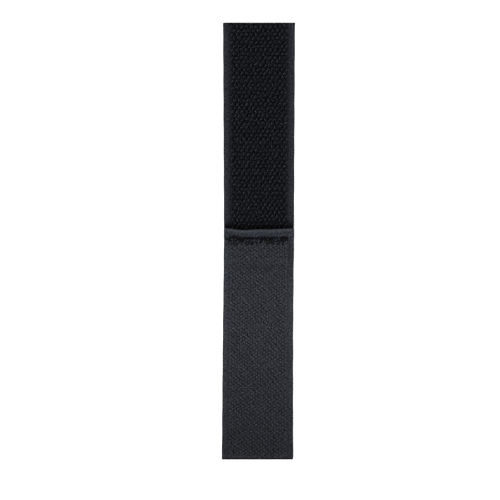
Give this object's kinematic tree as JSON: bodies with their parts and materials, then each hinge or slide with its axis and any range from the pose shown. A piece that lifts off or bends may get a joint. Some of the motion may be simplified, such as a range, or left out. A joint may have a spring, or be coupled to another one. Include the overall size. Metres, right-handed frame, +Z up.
{
  "type": "hook-and-loop strap",
  "caption": "Flat woven strap of hook tape and loop tape sewn end to end; each half folds up at the seam to press hooks onto loops.",
  "frame": {"origin": "middle of the strap's length and width, on the plane that its back lies on", "axes": "+Y along the strap from the seam to the free end of the hook tape, +X across the strap, +Z up out of the hooks and loops"},
  "size_m": [0.0254, 0.1584, 0.0034],
  "materials": {
    "hook_tape_weave": "black woven nylon ground, tight plain weave",
    "hook_monofilament": "black nylon monofilament hooks, glossy where they bend",
    "loop_tape_weave": "charcoal woven nylon ground with a slight sheen",
    "loop_nap": "matt charcoal nylon loops, napped",
    "sewing_thread": "black bonded nylon thread"
  },
  "bodies": {
    "seam": {"hook_tape_sewn_end": "hook_tape_weave", "loop_tape_hem": "loop_tape_weave", "seam_loop_pile": "loop_nap", "needle_thread": "sewing_thread", "bobbin_thread": "sewing_thread"},
    "hook_half": {"hook_tape": "hook_tape_weave", "hook_field": "hook_monofilament"},
    "loop_half": {"loop_tape": "loop_tape_weave", "loop_pile": "loop_nap"}
  },
  "joints": [
    {"name": "hook_half_fold", "type": "hinge", "parent": "seam", "child": "hook_half", "pos_m": [0, 0.007, 0.0004], "axis": [1, 0, 0], "range_deg": [-95, 95]},
    {"name": "loop_half_fold", "type": "hinge", "parent": "seam", "child": "loop_half", "pos_m": [0, -0.0109, 0.0004], "axis": [-1, 0, 0], "range_deg": [-95, 95]}
  ]
}
